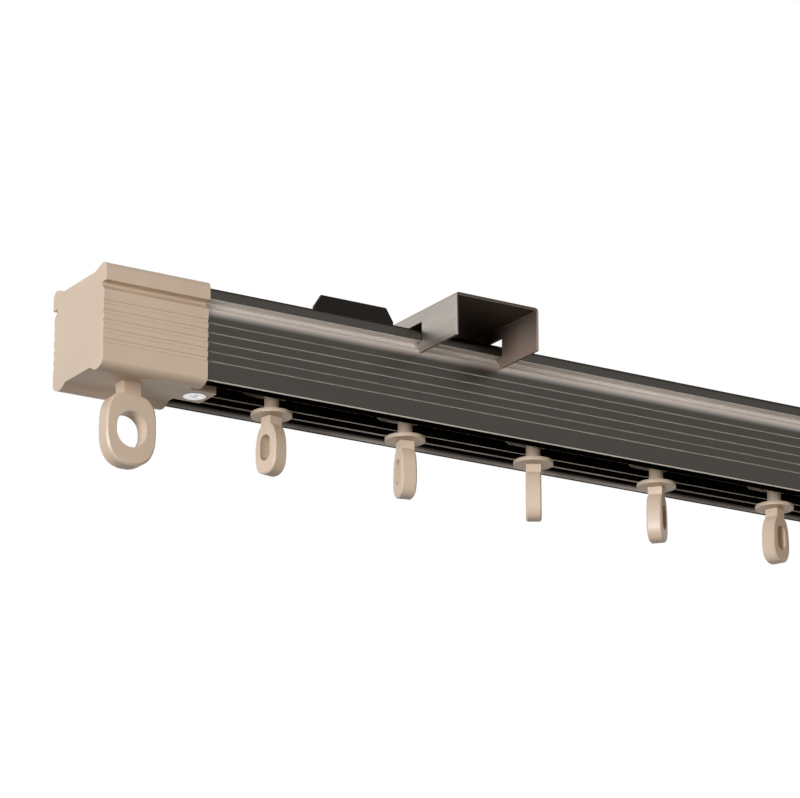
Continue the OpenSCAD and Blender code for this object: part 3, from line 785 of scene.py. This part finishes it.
class CURTAIN_OT_studio(Operator):
    """Makes the pale floor, the soft lamps and the camera"""

    bl_idname = "curtain_track.studio"
    bl_label = "Studio"

    def execute(self, context):
        looks = context.scene.studio_looks
        self.sky(looks)
        self.floor(looks)
        lamp("Key lamp", looks, looks.key_place, looks.key_size, looks.key, looks.key_tone)
        front = lamp("Front lamp", looks, looks.front_place, looks.fill_size, looks.front, looks.fill_tone)
        back = lamp("Back lamp", looks, looks.back_place, looks.fill_size, looks.back, looks.fill_tone)
        front.visible_glossy = False
        back.visible_glossy = False
        self.camera(looks)
        context.scene.view_settings.view_transform = "Standard"
        return {"FINISHED"}

    def sky(self, looks):
        """Plain white where it is seen or mirrored, and softer light on the surfaces."""
        world = bpy.data.worlds.new("Studio")
        bpy.context.scene.world = world
        recipe = Recipe(world)
        path = recipe.add("ShaderNodeLightPath").outputs
        seen = Term(recipe, path["Is Camera Ray"]) | Term(recipe, path["Is Glossy Ray"])
        seen = seen | Term(recipe, path["Is Transmission Ray"])
        way = recipe.add("ShaderNodeTexCoord").outputs["Generated"]
        height = Term(recipe, recipe.add("ShaderNodeSeparateXYZ", None, {0: way}).outputs["Z"])
        soft = recipe.add("ShaderNodeBackground", None, {
            "Color": (*looks.sky_tone, 1.0),
            "Strength": recipe.band(height, -0.5, 0.6, looks.ground, looks.sky),
        })
        white = recipe.add("ShaderNodeBackground", None, {"Color": (1, 1, 1, 1), "Strength": 1.0})
        both = recipe.add("ShaderNodeMixShader", None, {0: seen, 1: soft.outputs[0], 2: white.outputs[0]})
        recipe.add("ShaderNodeOutputWorld", None, {"Surface": both.outputs[0]})

    def floor(self, looks):
        """A wide pale floor that takes the soft light and looks nearly white where it is seen."""
        mesh = bpy.data.meshes.new("floor")
        reach = looks.floor_reach
        corners = [(x * reach, y * reach, -looks.floor_drop) for x, y in ((-1, -1), (1, -1), (1, 1), (-1, 1))]
        mesh.from_pydata(corners, [], [(0, 1, 2, 3)])
        floor = bpy.data.objects.new("floor", mesh)
        bpy.context.scene.collection.objects.link(floor)
        recipe = new_material("Pale floor")
        path = recipe.add("ShaderNodeLightPath").outputs
        seen = Term(recipe, path["Is Camera Ray"]) | Term(recipe, path["Is Glossy Ray"])
        cloud = recipe.noise((1.5, 1.5, 1.5), 2.0)
        tone = recipe.blend(cloud, looks.floor_tone, shade(looks.floor_tone, -0.04))
        plain_floor = recipe.add("ShaderNodeBsdfDiffuse", None, {"Color": tone})
        glow = recipe.add("ShaderNodeEmission", None, {"Color": (1, 1, 1, 1), "Strength": 1.0})
        sockets = {0: seen * looks.floor_glow, 1: plain_floor.outputs[0], 2: glow.outputs[0]}
        both = recipe.add("ShaderNodeMixShader", None, sockets)
        recipe.add("ShaderNodeOutputMaterial", None, {"Surface": both.outputs[0]})
        mesh.materials.append(recipe.owner)

    def camera(self, looks):
        """A long lens that looks up at the track from the left."""
        data = bpy.data.cameras.new("Camera")
        data.sensor_width = 36
        data.lens = looks.lens
        data.clip_start = 0.05
        data.clip_end = 50
        camera = bpy.data.objects.new("Camera", data)
        bpy.context.scene.collection.objects.link(camera)
        turn = looks.camera_turn
        lift = looks.camera_lift
        ahead = Vector((math.sin(turn) * math.cos(lift), math.cos(turn) * math.cos(lift), math.sin(lift)))
        camera.location = looks.camera_place
        camera.rotation_euler = ahead.to_track_quat("-Z", "Y").to_euler()
        bpy.context.scene.camera = camera


class CURTAIN_PT_panel(Panel):
    """Lists the finishes and the steps"""

    bl_idname = "CURTAIN_PT_panel"
    bl_label = "Curtain Track"
    bl_space_type = "VIEW_3D"
    bl_region_type = "UI"
    bl_category = "Curtain Track"

    def draw(self, context):
        for title, group, steps in SECTIONS:
            box = self.layout.box()
            box.label(text=title)
            looks = getattr(context.scene, group)
            for key in type(looks).__annotations__:
                box.prop(looks, key)
            for step in steps:
                box.operator(step.bl_idname)


GROUPS = {
    "track_looks": TrackLooks,
    "plastic_looks": PlasticLooks,
    "bracket_looks": BracketLooks,
    "metal_looks": MetalLooks,
    "wheel_looks": WheelLooks,
    "studio_looks": StudioLooks,
}
STEPS = (
    CURTAIN_OT_profile,
    CURTAIN_OT_end_caps,
    CURTAIN_OT_gliders,
    CURTAIN_OT_eyes,
    CURTAIN_OT_brackets,
    CURTAIN_OT_locks,
    CURTAIN_OT_studio,
)
SECTIONS = (
    ("Profile", "track_looks", (CURTAIN_OT_profile,)),
    ("Moulded pieces", "plastic_looks", (CURTAIN_OT_end_caps, CURTAIN_OT_eyes)),
    ("Wheels", "wheel_looks", (CURTAIN_OT_gliders,)),
    ("Wall brackets", "bracket_looks", (CURTAIN_OT_brackets,)),
    ("Steel pieces", "metal_looks", (CURTAIN_OT_locks,)),
    ("Studio", "studio_looks", (CURTAIN_OT_studio,)),
)


def register():
    """Makes the panel, the steps and the groups of values known to Blender."""
    for kind in (*GROUPS.values(), *STEPS, CURTAIN_PT_panel):
        bpy.utils.register_class(kind)
    for name, kind in GROUPS.items():
        setattr(bpy.types.Scene, name, PointerProperty(type=kind))


def unregister():
    """Takes them out again, the last first."""
    for name in GROUPS:
        delattr(bpy.types.Scene, name)
    for kind in (CURTAIN_PT_panel, *reversed(STEPS), *reversed(list(GROUPS.values()))):
        bpy.utils.unregister_class(kind)


def main():
    """Runs every step in order."""
    register()
    for step in STEPS:
        family, name = step.bl_idname.split(".")
        getattr(getattr(bpy.ops, family), name)()


if __name__ == "__main__":
    main()
